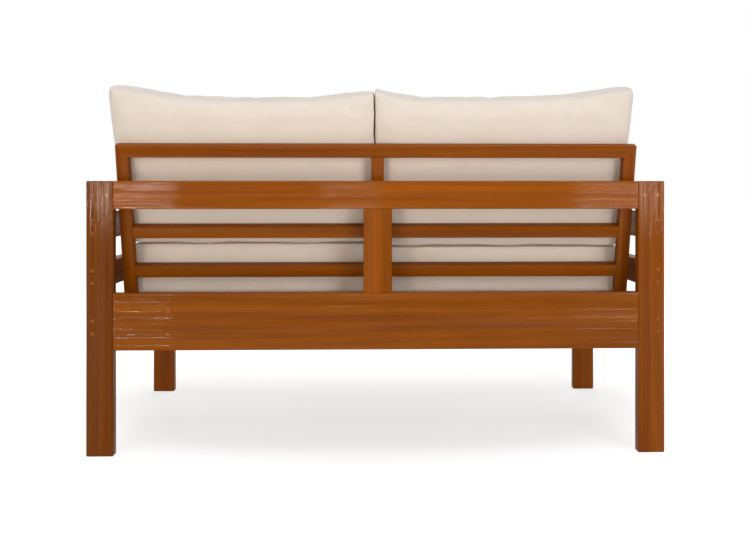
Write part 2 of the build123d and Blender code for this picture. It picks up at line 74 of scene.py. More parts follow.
def add_node(tree, kind, inputs=None, **settings):
    """One shader node with its settings and its inputs, which are values or sockets."""
    made = tree.nodes.new(kind)
    for key, value in settings.items():
        setattr(made, key, value)
    feed(tree, made, inputs or {})
    return made


def math_node(tree, operation, *values):
    """Result of one math node."""
    inputs = dict(enumerate(values))
    return add_node(tree, "ShaderNodeMath", inputs, operation=operation).outputs[0]


def vector_node(tree, operation, *values):
    """Vector result of one vector math node."""
    inputs = dict(enumerate(values))
    return add_node(tree, "ShaderNodeVectorMath", inputs, operation=operation).outputs[0]


def weighted_sum(tree, terms):
    """Sum of (field, share) terms."""
    total = 0.0
    for field, share in terms:
        total = math_node(tree, "MULTIPLY_ADD", field, share, total)
    return total


def mix_colour(tree, factor, first, second, blend="MIX"):
    """Colour result of a mix node."""
    inputs = {0: factor, 6: first, 7: second}
    made = add_node(tree, "ShaderNodeMix", inputs, data_type="RGBA", blend_type=blend)
    return made.outputs[2]


def ramp(tree, factor, stops):
    """Colour ramp of (place, colour) stops."""
    made = tree.nodes.new("ShaderNodeValToRGB")
    tree.links.new(factor, made.inputs[0])
    elements = made.color_ramp.elements
    while len(elements) < len(stops):
        elements.new(0.5)
    for element, (place, colour) in zip(elements, stops):
        element.position = place
        element.color = colour
    return made.outputs[0]


def object_place(tree):
    """Place on the object, in its own directions."""
    return add_node(tree, "ShaderNodeTexCoord").outputs["Object"]


def turned_by(tree, vector, turn):
    """A place or direction turned by three angles."""
    inputs = {"Vector": vector, "Rotation": turn}
    return add_node(tree, "ShaderNodeMapping", inputs).outputs[0]


def separated(tree, vector):
    """The three parts of a vector."""
    return add_node(tree, "ShaderNodeSeparateXYZ", {"Vector": vector}).outputs


def noise_field(tree, place, scale, detail=2.0, roughness=0.5):
    """Value of a noise at a place."""
    inputs = {"Vector": place, "Scale": scale, "Detail": detail, "Roughness": roughness}
    return add_node(tree, "ShaderNodeTexNoise", inputs).outputs["Fac"]


def fibre_field(tree, place, along, across, detail=2.0, roughness=0.5):
    """Value of a noise with its own scale along X and across it."""
    stretched = vector_node(tree, "MULTIPLY", place, (along, across, across))
    return noise_field(tree, stretched, 1.0, detail, roughness)


def cell_field(tree, place, scale):
    """Distance from the middle of a cell."""
    inputs = {"Vector": place, "Scale": scale}
    return add_node(tree, "ShaderNodeTexVoronoi", inputs).outputs["Distance"]


def bump(tree, height, strength, distance):
    """Normal of a surface with a relief."""
    inputs = {"Height": height, "Strength": strength, "Distance": distance}
    return add_node(tree, "ShaderNodeBump", inputs).outputs[0]


def grey(value):
    """Linear colour without a hue."""
    return (value, value, value, 1.0)


def linear(red, green, blue):
    """Linear colour of an sRGB one written from 0 to 255."""
    parts = []
    for part in (red, green, blue):
        share = part / 255
        parts.append(share / 12.92 if share <= 0.04045 else ((share + 0.055) / 1.055) ** 2.4)
    return (*parts, 1.0)


def new_material(name):
    """Material with an empty tree, its principled shader and its output."""
    material = bpy.data.materials.new(name)
    material.use_nodes = True
    tree = material.node_tree
    tree.nodes.clear()
    shader = tree.nodes.new("ShaderNodeBsdfPrincipled")
    output = tree.nodes.new("ShaderNodeOutputMaterial")
    tree.links.new(shader.outputs[0], output.inputs[0])
    return material, tree, shader


# Wood: the turn that brings each direction of the grain to the X of the noises
GRAIN_TURNS = {
    "x": (0.0, 0.0, 0.0),
    "y": (0.0, 0.0, -math.pi / 2),
    "z": (0.0, math.pi / 2, 0.0),
    "slope": (TILT, math.pi / 2, 0.0),
}

# How far a board's own random number moves its grain, so that no two boards look the same
BOARD_SHIFT = {"X": 37.0, "Y": 13.0, "Z": 7.0}

# Noises of the grain: scale along it and across it, detail and roughness
GRAIN_NOISES = {
    "wander": (1.3, 7.0),
    "fibres": (5.0, 420.0, 4.0, 0.6),
    "streaks": (1.4, 60.0, 3.0),
    "pores": (70.0, 1300.0, 1.0),
    "clouds": (2.2, 12.0),
    "brushed": (1.1, 125.0, 3.0, 0.65),
    "waves": (1.1, 125.0, 3.0, 0.6),
}

# Growth rings: where the pith lies beside a board, and how the rings wander and follow it
PITH_SKEW = 0.03
PITH_SPREAD = 0.24
PITH_DEPTH = 0.4
PITH_DEPTH_SPREAD = 0.1
RING_WARP = 0.016
RINGS_PER_METRE = 95.0
RING_STOPS = [(0.0, grey(0.55)), (0.35, grey(0.42)), (0.85, grey(0.66)), (1.0, grey(0.55))]

PORE_STOPS = [(0.60, grey(0.0)), (0.72, grey(1.0))]
PORE_SHARE = 0.30
PORE_COLOUR = grey(0.30)

# Share of each feature in the tone of the wood, which runs from light to dark, and in its relief
TONE_SHARES = {"rings": 0.22, "fibres": 0.26, "streaks": 0.46, "clouds": 0.34, "chance": 0.06}
LIGHT_TONE, MIDDLE_TONE, DARK_TONE = 0.42, 0.66, 0.92
RELIEF_SHARES = {"rings": 0.5, "fibres": 0.55, "pores": -0.6}

# Varnish: its weight in the thinnest and the thickest streaks of the brush
THIN_COAT, THICK_COAT = 0.02, 0.22
THIN_PLACE, THICK_PLACE = 0.38, 0.62


def board_place(tree, along, chance):
    """Place in the grain, moved by the board's own random number."""
    moves = {axis: math_node(tree, "MULTIPLY", chance, move) for axis, move in BOARD_SHIFT.items()}
    shift = add_node(tree, "ShaderNodeCombineXYZ", moves).outputs[0]
    return vector_node(tree, "ADD", along, shift)


def growth_rings(tree, along, wander, chance):
    """Tone of growth rings round a pith that lies beside the board and runs a little askew."""
    parts = separated(tree, along)
    askew = math_node(tree, "MULTIPLY", parts[0], math_node(tree, "SUBTRACT", chance, 0.5))
    askew = math_node(tree, "MULTIPLY", askew, PITH_SKEW)
    pith_y = math_node(tree, "MULTIPLY_ADD", chance, PITH_SPREAD, -PITH_SPREAD / 2)
    pith_z = math_node(tree, "MULTIPLY_ADD", chance, -PITH_DEPTH_SPREAD, -PITH_DEPTH)
    off_y = math_node(tree, "ADD", math_node(tree, "ADD", parts[1], pith_y), askew)
    off_z = math_node(tree, "ADD", parts[2], pith_z)
    square_y = math_node(tree, "MULTIPLY", off_y, off_y)
    square_z = math_node(tree, "MULTIPLY", off_z, off_z)
    reach = math_node(tree, "SQRT", math_node(tree, "ADD", square_y, square_z))
    warped = math_node(tree, "MULTIPLY_ADD", wander, RING_WARP, reach)
    rings = math_node(tree, "FRACT", math_node(tree, "MULTIPLY", warped, RINGS_PER_METRE))
    return ramp(tree, rings, RING_STOPS)


def wood_material(name, grain, dark, middle, light, gloss=1.0):
    """Varnished wood whose grain runs along one axis: rings, fibres, pores and a glossy coat."""
    material, tree, shader = new_material(name)
    along = turned_by(tree, object_place(tree), GRAIN_TURNS[grain])
    chance = add_node(tree, "ShaderNodeObjectInfo").outputs["Random"]
    board = board_place(tree, along, chance)
    fields = {key: fibre_field(tree, board, *sizes) for key, sizes in GRAIN_NOISES.items()}
    fields["chance"] = chance
    fields["rings"] = growth_rings(tree, along, fields["wander"], chance)
    fields["pores"] = ramp(tree, fields["pores"], PORE_STOPS)

    tone = weighted_sum(tree, [(fields[key], share) for key, share in TONE_SHARES.items()])
    stops = [(LIGHT_TONE, light), (MIDDLE_TONE, middle), (DARK_TONE, dark)]
    pores = math_node(tree, "MULTIPLY", fields["pores"], PORE_SHARE)
    colour = mix_colour(tree, pores, ramp(tree, tone, stops), PORE_COLOUR, "MULTIPLY")
    # Board's tone from its object colour: its own tone, with painted shade for one post
    own_tone_and_shade = add_node(tree, "ShaderNodeObjectInfo").outputs["Color"]
    thin, thick = grey(THIN_COAT * gloss), grey(THICK_COAT * gloss)
    relief = weighted_sum(tree, [(fields[key], share) for key, share in RELIEF_SHARES.items()])
    look = {
        "Base Color": mix_colour(tree, 1.0, colour, own_tone_and_shade, "MULTIPLY"),
        "Roughness": math_node(tree, "MULTIPLY_ADD", fields["fibres"], 0.22, 0.40),
        "Specular IOR Level": 0.03,
        "Coat Weight": ramp(tree, fields["brushed"], [(THIN_PLACE, thin), (THICK_PLACE, thick)]),
        "Coat Roughness": 0.07,
        "Normal": bump(tree, relief, 0.4, 0.0004),
        "Coat Normal": bump(tree, fields["waves"], 1.0, 0.0011),
    }
    feed(tree, shader, look)
    return material


# Dark, middle and light colour of the outer boards, and of the plainer ones under the cushions
OUTER_WOOD = (linear(113, 52, 3), linear(143, 74, 4), linear(168, 93, 8))
HIDDEN_WOOD = (linear(108, 56, 18), linear(136, 74, 26), linear(162, 92, 40))
HIDDEN_GLOSS = 0.4

# Each board's colour as a share of the upper rail's: the boards' own tone, and for rear_post_right
# also painted shade, since the light falls off towards that post
BOARD_TONES_AND_SHADE = {
    "rear_post_right": 0.60,
    "rear_post_left": 0.84,
    "rear_lower_rail": 0.81,
    "rear_centre_stile": 0.92,
    "front_leg": 0.90,
    "back_top_rail": 0.92,
    "back_slat": 0.86,
    "back_stile": 0.90,
}

wood = {
    grain: wood_material(f"varnished_wood_{grain}", grain, *OUTER_WOOD) for grain in GRAIN_TURNS
}
hidden_wood = {
    grain: wood_material(f"hidden_wood_{grain}", grain, *HIDDEN_WOOD, HIDDEN_GLOSS)
    for grain in ("x", "y")
}

# Direction of the grain of every kind of board
GRAIN_OF = {
    "rear_post": "z",
    "front_leg": "z",
    "rear_centre_stile": "z",
    "arm_rail": "y",
    "side_slat": "y",
    "seat_bearer": "y",
    "back_stile": "slope",
    "rear_upper_rail": "x",
    "rear_lower_rail": "x",
    "front_apron": "x",
    "seat_slat": "x",
    "back_top_rail": "x",
    "back_bottom_rail": "x",
    "back_slat": "x",
}
HIDDEN_BOARDS = ("seat_bearer", "seat_slat")


# Hardware and foam
def plug_material():
    """End grain of a wooden plug under varnish, lighter than the boards round it: a painted
    highlight for its glint.
    """
    material, tree, shader = new_material("plug_wood")
    place = object_place(tree)
    speckle = noise_field(tree, place, 900.0, 3.0)
    broad = noise_field(tree, place, 60.0)
    tone = weighted_sum(tree, [(speckle, 0.5), (broad, 0.5)])
    look = {
        # Lighter tan than the posts, a painted highlight for the small glint on each plug
        "Base Color": ramp(tree, tone, [(0.35, linear(164, 96, 40)), (0.65, linear(128, 68, 20))]),
        "Roughness": 0.4,
        "Specular IOR Level": 0.03,
        "Coat Weight": 0.15,
        "Coat Roughness": 0.10,
        "Normal": bump(tree, speckle, 0.4, 0.0003),
    }
    feed(tree, shader, look)
    return material


def dowel_material():
    """Plain beech."""
    material, tree, shader = new_material("dowel_wood")
    fibres = fibre_field(tree, object_place(tree), 30.0, 500.0)
    stops = [(0.3, linear(214, 182, 140)), (0.7, linear(186, 150, 106))]
    feed(tree, shader, {"Base Color": ramp(tree, fibres, stops), "Roughness": 0.6})
    return material


def steel_material():
    """Zinc-plated steel with a fine mottled plating."""
    material, tree, shader = new_material("zinc_steel")
    place = object_place(tree)
    spangle = cell_field(tree, place, 700.0)
    haze = noise_field(tree, place, 250.0, 3.0)
    look = {
        "Base Color": ramp(tree, spangle, [(0.0, grey(0.62)), (1.0, linear(190, 190, 184))]),
        "Roughness": math_node(tree, "MULTIPLY_ADD", haze, 0.25, 0.24),
        "Metallic": 1.0,
        "Normal": bump(tree, haze, 0.2, 0.0002),
    }
    feed(tree, shader, look)
    return material


def foam_material():
    """Open-cell foam."""
    material, tree, shader = new_material("foam")
    cells = cell_field(tree, object_place(tree), 900.0)
    stops = [(0.0, linear(226, 214, 168)), (1.0, linear(244, 236, 204))]
    look = {
        "Base Color": ramp(tree, cells, stops),
        "Roughness": 0.95,
        "Normal": bump(tree, cells, 1.0, 0.0005),
    }
    feed(tree, shader, look)
    return material


# Fabric
THREAD_PITCH = 0.0011
FACING_POWER = 3.0
WEAVE_SHARE, SLUB_SHARE, MOTTLE_SHARE = 0.35, 0.25, 0.40


def woven(tree, place, facing):
    """Height of crossing threads, each pair of directions on the sides that face its third one."""
    turns = 2 * math.pi / THREAD_PITCH
    sines = [
        math_node(tree, "SINE", math_node(tree, "MULTIPLY", part, turns))
        for part in separated(tree, place)
    ]
    sides = separated(tree, facing)
    weave = 0.5
    for axis in range(3):
        first, second = [index for index in range(3) if index != axis]
        crossing = math_node(tree, "MULTIPLY", sines[first], sines[second])
        share = math_node(tree, "ABSOLUTE", sides[axis])
        share = math_node(tree, "POWER", share, FACING_POWER)
        share = math_node(tree, "MULTIPLY", share, 0.5)
        weave = math_node(tree, "MULTIPLY_ADD", crossing, share, weave)
    return weave


def fabric_material(name, light, shade, tilt=0.0):
    """Plain woven cream cloth: crossing threads, slubs, faint mottling and a soft sheen."""
    material, tree, shader = new_material(name)
    turn = (tilt, 0.0, 0.0)
    place = turned_by(tree, object_place(tree), turn)
    normal = add_node(tree, "ShaderNodeTexCoord").outputs["Normal"]
    weave = woven(tree, place, turned_by(tree, normal, turn))
    slubs = fibre_field(tree, place, 60.0, 700.0)
    mottle = noise_field(tree, place, 7.0, 4.0)
    terms = [(weave, WEAVE_SHARE), (slubs, SLUB_SHARE), (mottle, MOTTLE_SHARE)]
    height = math_node(tree, "MULTIPLY_ADD", slubs, 0.6, weave)
    look = {
        "Base Color": ramp(tree, weighted_sum(tree, terms), [(0.30, shade), (0.70, light)]),
        "Roughness": 0.92,
        "Specular IOR Level": 0.2,
        "Sheen Weight": 0.12,
        "Sheen Roughness": 0.5,
        "Normal": bump(tree, height, 0.35, 0.0004),
    }
    feed(tree, shader, look)
    return material


CREAM_LIGHT = linear(231, 223, 214)
CREAM_SHADE = linear(221, 211, 200)
fabric = {
    "seat": fabric_material("cream_fabric_seat", CREAM_LIGHT, CREAM_SHADE),
    "back": fabric_material("cream_fabric_back", CREAM_LIGHT, CREAM_SHADE, TILT),
}
thread = fabric_material("cream_thread", linear(230, 222, 212), linear(220, 210, 198))

plug_wood = plug_material()
dowel_wood = dowel_material()
zinc_steel = steel_material()
foam = foam_material()
HARDWARE = {
    "screw_plugs": plug_wood,
    "rail_dowels": dowel_wood,
    "mitre_dowels": dowel_wood,
    "side_frame_screws": zinc_steel,
    "rail_bolts": zinc_steel,
    "bolt_cross_nuts": zinc_steel,
    "seat_slat_screws": zinc_steel,
    "back_frame_screws": zinc_steel,
}

# Rounding of the boards' edges
EDGE_WIDTH = 0.0013
EDGE_STEPS = 2
EDGE_ANGLE = math.radians(30)


def kind_in(table, name):
    """Key of a table that a node's name starts with, or None."""
    for kind in table:
        if name.startswith(kind):
            return kind
    return None


def dress(obj, material):
    """Give one object a single material."""
    obj.data.materials.clear()
    obj.data.materials.append(material)


def dress_board(obj, name, kind):
    """Grain, tone with painted shade, and softer edges of one board."""
    family = hidden_wood if kind in HIDDEN_BOARDS else wood
    dress(obj, family[GRAIN_OF[kind]])
    # Its tone, which for rear_post_right holds painted shade as well
    obj.color = grey(BOARD_TONES_AND_SHADE.get(kind_in(BOARD_TONES_AND_SHADE, name), 1.0))
    soften = obj.modifiers.new("eased_edges", "BEVEL")
    soften.width = EDGE_WIDTH
    soften.segments = EDGE_STEPS
    soften.limit_method = "ANGLE"
    soften.angle_limit = EDGE_ANGLE


def dress_frame():
    """Materials for every CAD node but the cushion covers, for which fabric pieces stand."""
    for name, obj in nodes.items():
        kind = kind_in(GRAIN_OF, name)
        if name in HARDWARE:
            dress(obj, HARDWARE[name])
        elif kind:
            dress_board(obj, name, kind)
        elif "foam" in name:
            dress(obj, foam)


dress_frame()


def add_object(name, data):
    """New object in the scene."""
    obj = bpy.data.objects.new(name, data)
    bpy.context.scene.collection.objects.link(obj)
    return obj


def mesh_object(name, mesh):
    """New object in the scene from a bmesh, which is freed."""
    data = bpy.data.meshes.new(name)
    mesh.to_mesh(data)
    mesh.free()
    return add_object(name, data)


# Cushions: steps of the mesh and of the seams, and the forms that all four share
GRID = 0.008
FEWEST_STEPS = 4
SEAM_STEP = 0.004
PANEL_POWER = 5.0
RIM_POWER = 4
SOLE_POWER = 3
BULGE_POWER = 0.6
BULGE_REACH = 0.010
SMALLEST = 1e-9


class Cushion:
    """Boxed cushion: two panels with rounded corners, and a strip that bulges between their seams.

    low and high are the corners of the seam outlines, in the cushion's own directions: across,
    towards the far end, and through its thickness. Any of the values below can be given as shape.
    """

    # How far the strip swells beyond the seams: towards an arm, at the joint, far and near
    bulge_outer = bulge_joint = bulge_far = bulge_near = 0.0
    # How far the upper and the lower panel dome, and the upper one's rim drops at the near end
    crown = under_crown = rim_drop = 0.0
    # How far the far end is drawn in between its corners. The outer corner keeps its full height
    # and the one at the joint a share of it, each over a reach and with its own steepness.
    draw = 0.0
    joint_rise = outer_reach = outer_power = joint_reach = joint_power = 1.0
    # How far the upper panel falls short of the lower one at the far end, and how far it reaches
    # past it at the near end
    droop = sole = 0.0
    # How far the outer side widens up from the level of the arms, and over what length
    flare, flare_reach = 0.0, 1.0

    def __init__(self, name, side, origin, axes, low, high, corner, **shape):
        self.name = self.body = name
        self.side, self.origin, self.axes = side, origin, axes
        self.half = (Vector(high) - Vector(low)) / 2
        self.middle = (Vector(high) + Vector(low)) / 2
        self.corner = corner
        for key, value in shape.items():
            setattr(self, key, value)

    def outline(self, u, s):
        """Point of the panel's plane, moved so that the corners of its outline are rounded."""
        inner = [
            max(-(self.half[i] - self.corner), min(self.half[i] - self.corner, v))
            for i, v in enumerate((u, s))
        ]
        off = (u - inner[0], s - inner[1])
        reach = math.hypot(*off)
        if reach < SMALLEST:
            return u, s
        share = max(abs(off[0]), abs(off[1])) / reach
        return inner[0] + off[0] * share, inner[1] + off[1] * share

    def drawn(self, u):
        """How far the far end pulls in at one place across the cushion."""
        from_outer = max(self.half[0] - u * self.side, 0.0)
        from_joint = max(self.half[0] + u * self.side, 0.0)
        kept = math.exp(-((from_outer / self.outer_reach) ** self.outer_power))
        joint_share = math.exp(-((from_joint / self.joint_reach) ** self.joint_power))
        kept += self.joint_rise * joint_share
        return self.draw * (1.0 - min(kept, 1.0))

    def shaped(self, q):
        """Point of the formed cushion, in its own directions, for a point of the plain box."""
        a, b, c = (q[i] / self.half[i] for i in range(3))
        u, s = self.outline(q[0], q[1])
        w = q[2]
        puff = (1 - abs(a) ** PANEL_POWER) * (1 - abs(b) ** PANEL_POWER)
        w += puff * (self.crown if c > 0 else -self.under_crown) * abs(c)
        if c > 0:
            w -= self.rim_drop * c * 0.5 * (1 - b) * max(abs(a), abs(b)) ** RIM_POWER
        swell = max(0.0, 1 - c * c) ** BULGE_POWER
        across = self.bulge_outer if u * self.side > 0 else self.bulge_joint
        along = self.bulge_far if s > 0 else self.bulge_near
        near_side = math.exp(-(self.half[0] - abs(q[0])) / BULGE_REACH)
        near_end = math.exp(-(self.half[1] - abs(q[1])) / BULGE_REACH)
        u += math.copysign(across * swell * near_side, u)
        s += math.copysign(along * swell * near_end, s)
        far = max(0.0, b)
        s -= self.drawn(q[0]) * far**2 + self.droop * far**2 * (c + 1) / 2
        s -= self.sole * max(0.0, -b) ** SOLE_POWER * (c + 1) / 2
        if a * self.side > 0:
            above = max(0.0, s + self.middle[1])
            u += self.side * self.flare * abs(a) * (1 - math.exp(-above / self.flare_reach))
        return Vector((u, s, w)) + self.middle

    def world(self, p):
        """Point in the loveseat's frame for a point in the cushion's own directions."""
        return self.origin + self.axes[0] * p[0] + self.axes[1] * p[1] + self.axes[2] * p[2]

    def cage(self):
        """Closed mesh of the formed cushion, from a gridded box."""
        counts = [max(FEWEST_STEPS, round(2 * self.half[i] / GRID)) for i in range(3)]
        mesh = bmesh.new()
        found = {}

        def corner(*key):
            if key not in found:
                q = [self.half[n] * (2 * key[n] / counts[n] - 1) for n in range(3)]
                found[key] = mesh.verts.new(self.world(self.shaped(q)))
            return found[key]

        for axis in range(3):
            first, second = [n for n in range(3) if n != axis]
            for end in (0, counts[axis]):
                for i in range(counts[first]):
                    for j in range(counts[second]):
                        ring = []
                        for di, dj in ((0, 0), (1, 0), (1, 1), (0, 1)):
                            key = [0, 0, 0]
                            key[axis] = end
                            key[first], key[second] = i + di, j + dj
                            ring.append(corner(*key))
                        mesh.faces.new(ring)
        bmesh.ops.recalc_face_normals(mesh, faces=mesh.faces)
        return mesh_object(self.name, mesh)

    def seam_paths(self):
        """Closed paths of the two seams, first round the lower or rear panel."""
        corners = [(-1, -1), (1, -1), (1, 1), (-1, 1)]
        paths = []
        for level in (-1, 1):
            path = []
            for start, end in zip(corners, corners[1:] + corners[:1]):
                length = 2 * (self.half[0] if start[1] == end[1] else self.half[1])
                count = int(length / SEAM_STEP)
                for index in range(count):
                    t = index / count
                    q = [self.half[n] * (start[n] + (end[n] - start[n]) * t) for n in range(2)]
                    path.append(self.world(self.shaped((*q, self.half[2] * level))))
            paths.append(path)
        return paths


JOINT_SWELL = 0.001

# Seat cushions: their outer side, the rounding of their corners, how far the strip swells or
# stands back on each side, and their tops, which differ a little in height
SEAT_OUTER = 0.5888
SEAT_CORNER = 0.026
SEAT_SIDE_SWELL = 0.006
SEAT_FRONT_SWELL = 0.009
SEAT_REAR_SWELL = 0.005
SEAT_REAR_INSET = 0.006
SEAT_LIFT = 0.0006
SEAT_CROWN = 0.004
SEAT_RIM_DROP = 0.006
SEAT_RISE = {-1: -0.0035, 1: 0.0042}

# Back cushions: their seam outlines forward of the ladder and up the slope, how much lower than
# level the underside reaches in front, so that it closes on the seat, and how the two differ
BACK_REAR_INSET = 0.014
BACK_FRONT = 0.140
BACK_HEIGHT = 0.3597
BACK_SOLE_DROP = 0.005
BACK_LOW = {-1: -0.008, 1: -0.003}
BACK_CORNER = {-1: 0.009, 1: 0.006}
BACK_WIDTH = {-1: 0.5690, 1: 0.5685}
BACK_SHAPE = {
    "bulge_outer": 0.014,
    "bulge_joint": JOINT_SWELL,
    "bulge_far": 0.011,
    "bulge_near": 0.002,
    "crown": 0.014,
    "under_crown": 0.022,
    "droop": 0.018,
    "sole": (BACK_FRONT - BACK_REAR_INSET) * math.tan(TILT) + BACK_SOLE_DROP,
}
BACK_OWN_SHAPE = {
    -1: {
        "draw": 0.0305,
        "outer_reach": 0.130,
        "outer_power": 1.1,
        "joint_rise": 0.93,
        "joint_reach": 0.048,
        "joint_power": 0.8,
        "flare": 0.0170,
        "flare_reach": 0.080,
    },
    1: {
        "draw": 0.0307,
        "outer_reach": 0.104,
        "outer_power": 1.4,
        "joint_rise": 0.58,
        "joint_reach": 0.105,
        "joint_power": 1.6,
        "flare": 0.0245,
        "flare_reach": 0.055,
    },
}


def make_seat_cushion(side, name):
    """Seat cushion: across, towards the back and up."""
    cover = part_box(f"seat_cushion_cover_{name}")
    joint = JOINT_X + side * JOINT_SWELL
    outer = side * (SEAT_OUTER - SEAT_SIDE_SWELL)
    top = SEAT_TOP + SEAT_RISE[side] - SEAT_CROWN
    return Cushion(
        f"seat_cushion_{name}",
        side,
        origin=Vector(),
        axes=(Vector((1, 0, 0)), Vector((0, 1, 0)), Vector((0, 0, 1))),
        low=(min(joint, outer), cover[0].y + SEAT_FRONT_SWELL, DECK_TOP + SEAT_LIFT),
        high=(max(joint, outer), cover[1].y - SEAT_REAR_INSET, top),
        corner=SEAT_CORNER,
        bulge_outer=SEAT_SIDE_SWELL,
        bulge_joint=JOINT_SWELL,
        bulge_far=SEAT_REAR_SWELL,
        bulge_near=SEAT_FRONT_SWELL,
        crown=SEAT_CROWN,
        rim_drop=SEAT_RIM_DROP,
    )


def make_back_cushion(side, name):
    """Back cushion: across, up the ladder's slope and forward."""
    joint = JOINT_X + side * JOINT_SWELL
    outer = JOINT_X + side * BACK_WIDTH[side]
    foot = slope_up_to(SEAT_TOP)
    return Cushion(
        f"back_cushion_{name}",
        side,
        origin=LADDER_ORIGIN,
        axes=(Vector((1, 0, 0)), SLOPE_UP, SLOPE_FORWARD),
        low=(min(joint, outer), foot + BACK_LOW[side], LADDER_FRONT + BACK_REAR_INSET),
        high=(max(joint, outer), foot + BACK_HEIGHT, LADDER_FRONT + BACK_FRONT),
        corner=BACK_CORNER[side],
        **BACK_SHAPE,
        **BACK_OWN_SHAPE[side],
    )


def slope_up_to(z):
    """Distance up the slope at which the ladder's front reaches a height."""
    return (z - ARM_HEIGHT - LADDER_FRONT * math.sin(TILT)) / math.cos(TILT)


def ladder_front_y(z):
    """Place along Y of the ladder's front at a height."""
    return LADDER_ORIGIN.y + slope_up_to(z) * math.sin(TILT) - LADDER_FRONT * math.cos(TILT)


def make_cushions():
    """The four cushions."""
    cushions = []
    for side, name in ((-1, "left"), (1, "right")):
        cushions += [make_seat_cushion(side, name), make_back_cushion(side, name)]
    return cushions


# Cloth: pressure, frames, how near the seams it is held, and the cap on its movement
PRESSURE = 2.0
FRAMES = 20
HELD_WITHIN = 0.005
HALF_HELD_WITHIN = 0.012
CAP = 0.026
CAP_GAIN = 1.25


def read_points(mesh):
    """Vertices of a mesh as rows of an array."""
    points = np.zeros(len(mesh.vertices) * 3)
    mesh.vertices.foreach_get("co", points)
    return points.reshape(-1, 3)


def write_points(mesh, points):
    """Move the vertices of a mesh to the rows of an array."""
    mesh.vertices.foreach_set("co", np.asarray(points, float).ravel())
    mesh.update()


def seam_tree(paths):
    """Search tree over the points of the seams."""
    points = [point for path in paths for point in path]
    tree = kdtree.KDTree(len(points))
    for index, point in enumerate(points):
        tree.insert(point, index)
    tree.balance()
    return tree


def add_cloth(obj, tree):
    """Cloth that swells under pressure while its seams hold."""
    held = obj.vertex_groups.new(name="seams")
    for vertex in obj.data.vertices:
        distance = tree.find(vertex.co)[2]
        if distance < HALF_HELD_WITHIN:
            held.add([vertex.index], 1.0 if distance < HELD_WITHIN else 0.5, "REPLACE")
    cloth = obj.modifiers.new("cloth", "CLOTH")
    settings = cloth.settings
    settings.quality = 5
    settings.mass = 0.25
    settings.tension_stiffness = 18
    settings.compression_stiffness = 12
    settings.shear_stiffness = 6
    settings.bending_stiffness = 0.6
    settings.use_pressure = True
    settings.uniform_pressure_force = PRESSURE
    settings.vertex_group_mass = "seams"
    settings.pin_stiffness = 1.0
    settings.shrink_min = -0.005
    settings.shrink_max = -0.005
    settings.effector_weights.gravity = 0.0
    cloth.collision_settings.use_collision = False
    cloth.collision_settings.use_self_collision = False


def swell(objects, trees):
    """Run the cloth of every cushion together, cap the movement and give the points."""
    rests = [read_points(obj.data) for obj in objects]
    for obj, tree in zip(objects, trees):
        add_cloth(obj, tree)
    for step in range(1, FRAMES + 1):
        bpy.context.scene.frame_set(step)
    for obj, rest in zip(objects, rests):
        settled = obj.evaluated_get(bpy.context.evaluated_depsgraph_get()).to_mesh()
        moved = read_points(settled) - rest
        length = np.linalg.norm(moved, axis=1, keepdims=True)
        rest += moved * (CAP / (length + CAP) * CAP_GAIN)
    for obj in objects:
        obj.modifiers.clear()
        obj.vertex_groups.clear()
    bpy.context.scene.frame_set(1)
    return rests


# Contact: the gap that a cushion keeps, the length over which it eases into it, and its limits
CONTACT_GAP = 0.0004
CONTACT_EASE = 0.0009
EASE_END = 4
EASE_SHARE = 0.98
LARGEST_POWER = 40
SEAT_SIDE_LIMIT = 0.5893
SEAT_FRONT_LIMIT = -0.3465

# Waves of the joint and of the line over the seat: height, radians per metre and start
JOINT_WAVES_UP = ((0.0008, 88.0, 0.0), (0.0005, 201.0, 1.0))
JOINT_WAVES_BACK = ((0.0016, 60.0, 0.0),)
SEAT_WAVES = ((0.0014, 27.0, 0.0), (0.0008, 53.0, 2.0))


def soft_floor(value, floor):
    """Value kept above a floor, with a soft start."""
    over = (value - floor) / CONTACT_EASE
    softened = np.log1p(np.exp(np.minimum(over, LARGEST_POWER)))
    return np.where(over > EASE_END, value, floor + CONTACT_EASE * softened * EASE_SHARE)


def soft_ceiling(value, ceiling):
    """Value kept below a ceiling, with a soft end."""
    return ceiling - soft_floor(ceiling - value, 0.0)


def ripple(place, waves):
    """Sum of sine waves at a place."""
    return sum(height * np.sin(turns * place + start) for height, turns, start in waves)


def joint_wave(points):
    """How far the joint between two cushions wanders to one side, by height and depth."""
    return ripple(points[:, 2], JOINT_WAVES_UP) + ripple(points[:, 1], JOINT_WAVES_BACK)


def seat_line(side, across):
    """Height at which a seat cushion and its back cushion meet."""
    return SEAT_TOP + SEAT_RISE[side] + ripple(across, SEAT_WAVES)


def settle(cushion, points):
    """Keep a cushion clear of what it rests on, flat where it does."""
    axes = np.array([list(axis) for axis in cushion.axes])
    origin = np.array(cushion.origin)
    world = np.array(points, float)
    side = cushion.side
    near = JOINT_X + joint_wave(world) + side * CONTACT_GAP
    world[:, 0] = near + side * soft_floor(side * (world[:, 0] - near), 0.0)
    if cushion.name.startswith("back"):
        own = (world - origin) @ axes.T
        own[:, 2] = soft_floor(own[:, 2], LADDER_FRONT + CONTACT_GAP)
        world = origin + own @ axes
        rest = seat_line(side, world[:, 0]) + CONTACT_GAP
        world[:, 2] = rest + soft_floor(world[:, 2] - rest, 0.0)
        return world
    world[:, 2] = soft_floor(world[:, 2], DECK_TOP + CONTACT_GAP)
    world[:, 2] = soft_ceiling(world[:, 2], seat_line(side, world[:, 0]) - CONTACT_GAP)
    world[:, 1] = soft_ceiling(world[:, 1], ladder_front_y(world[:, 2]) - CONTACT_GAP)
    world[:, 1] = soft_floor(world[:, 1], SEAT_FRONT_LIMIT)
    world[:, 0] = side * soft_ceiling(side * world[:, 0], SEAT_SIDE_LIMIT)
    return world


